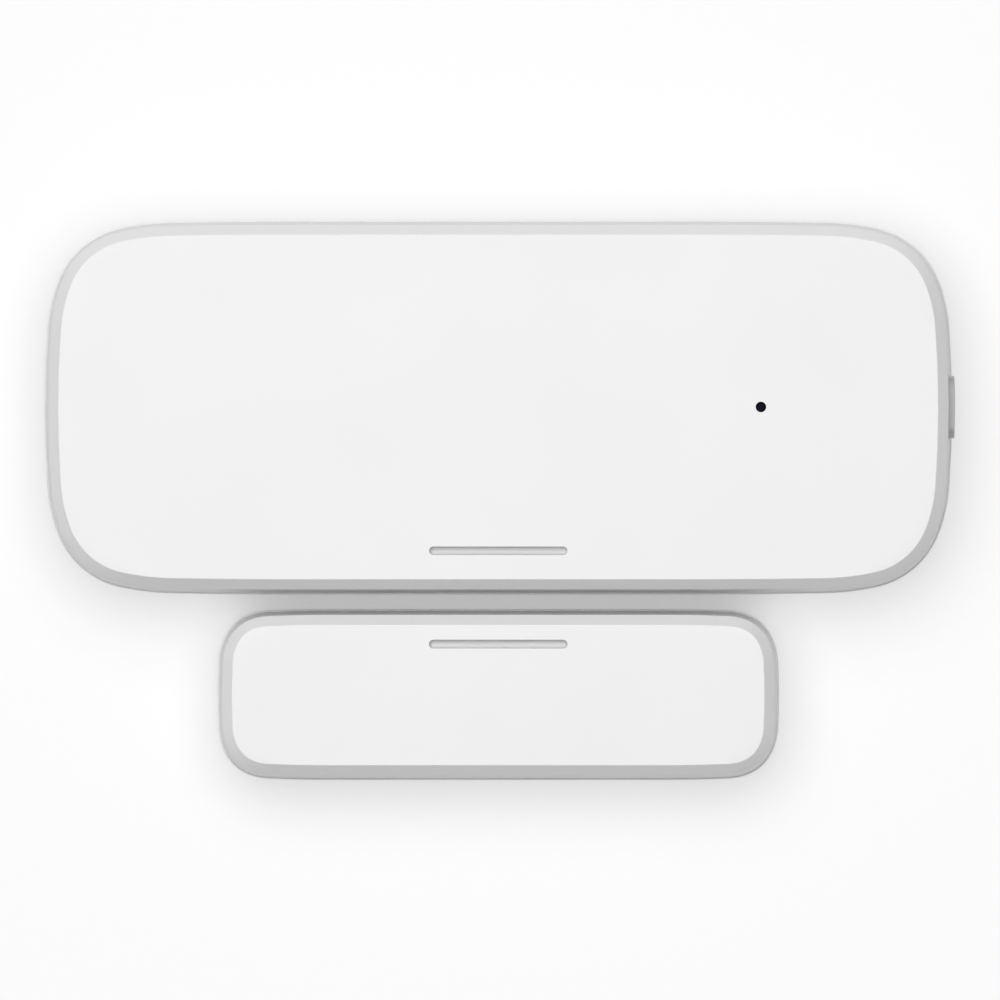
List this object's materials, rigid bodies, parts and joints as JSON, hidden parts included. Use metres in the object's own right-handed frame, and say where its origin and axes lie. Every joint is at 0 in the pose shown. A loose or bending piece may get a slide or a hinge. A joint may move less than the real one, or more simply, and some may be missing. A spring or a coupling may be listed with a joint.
{
  "type": "door sensor",
  "caption": "Magnetic door sensor: a long rounded housing with a side button and status light, and a smaller rounded magnet block, each with an alignment groove and adhesive back.",
  "frame": {"origin": "middle of the sensor's back, on the face of its adhesive pad", "axes": "+X along the sensor to its button end, +Y across it away from the magnet block, +Z out of the fronts"},
  "size_m": [0.0864, 0.0532, 0.0153],
  "materials": {
    "white_plastic": "satin",
    "grey_plastic": "satin",
    "smoked_plastic": "gloss",
    "foam_pad": "matte",
    "cell_jacket": "satin",
    "contact_metal": "satin",
    "board_laminate": "gloss",
    "module_laminate": "gloss",
    "screw_steel": "satin",
    "reed_glass": "gloss",
    "lead_metal": "satin",
    "shield_steel": "satin",
    "copper_track": "satin",
    "chip_resin": "matte",
    "capacitor_can": "satin",
    "led_resin": "gloss",
    "ceramic": "matte",
    "plunger_plastic": "satin",
    "magnet_nickel": "satin"
  },
  "bodies": {
    "sensor_base": {"sensor_adhesive_pad": "foam_pad", "back_cover": "white_plastic", "battery_cell_upper": "cell_jacket", "battery_cell_lower": "cell_jacket", "contact_bridge": "contact_metal", "contact_positive": "contact_metal", "contact_negative": "contact_metal", "circuit_board": "board_laminate", "board_screws": "screw_steel", "reed_switch_glass": "reed_glass", "reed_switch_leads": "lead_metal", "radio_module": "module_laminate", "radio_shield_can": "shield_steel", "module_antenna": "copper_track", "controller_chip": "chip_resin", "clock_crystal": "shield_steel", "buffer_capacitor": "capacitor_can", "status_led": "led_resin", "chip_parts": "ceramic", "tact_switch_body": "chip_resin", "tact_switch_frame": "shield_steel"},
    "sensor_cover": {"front_cover": "white_plastic", "light_pipe": "smoked_plastic"},
    "button": {"side_button": "grey_plastic"},
    "plunger": {"switch_plunger": "plunger_plastic"},
    "magnet_base": {"magnet_adhesive_pad": "foam_pad", "magnet_back_plate": "white_plastic", "bar_magnet": "magnet_nickel"},
    "magnet_lid": {"magnet_cover": "white_plastic"}
  },
  "joints": [
    {"name": "cover_lift", "type": "slide", "parent": "sensor_base", "child": "sensor_cover", "axis": [0, 0, 1], "range_m": [0, 0.03]},
    {"name": "button_press", "type": "slide", "parent": "sensor_cover", "child": "button", "axis": [-1, 0, 0], "range_m": [0, 0.0003], "stiffness_N_per_m": 500},
    {"name": "plunger_press", "type": "slide", "parent": "sensor_base", "child": "plunger", "axis": [-1, 0, 0], "range_m": [0, 0.0003]},
    {"name": "magnet_travel", "type": "slide", "parent": "sensor_base", "child": "magnet_base", "axis": [0, -1, 0], "range_m": [0, 0.06]},
    {"name": "magnet_cover_lift", "type": "slide", "parent": "magnet_base", "child": "magnet_lid", "axis": [0, 0, 1], "range_m": [0, 0.025]}
  ],
  "couplings": [
    {"joint": "plunger_press", "follows": "button_press", "ratio": 1}
  ]
}
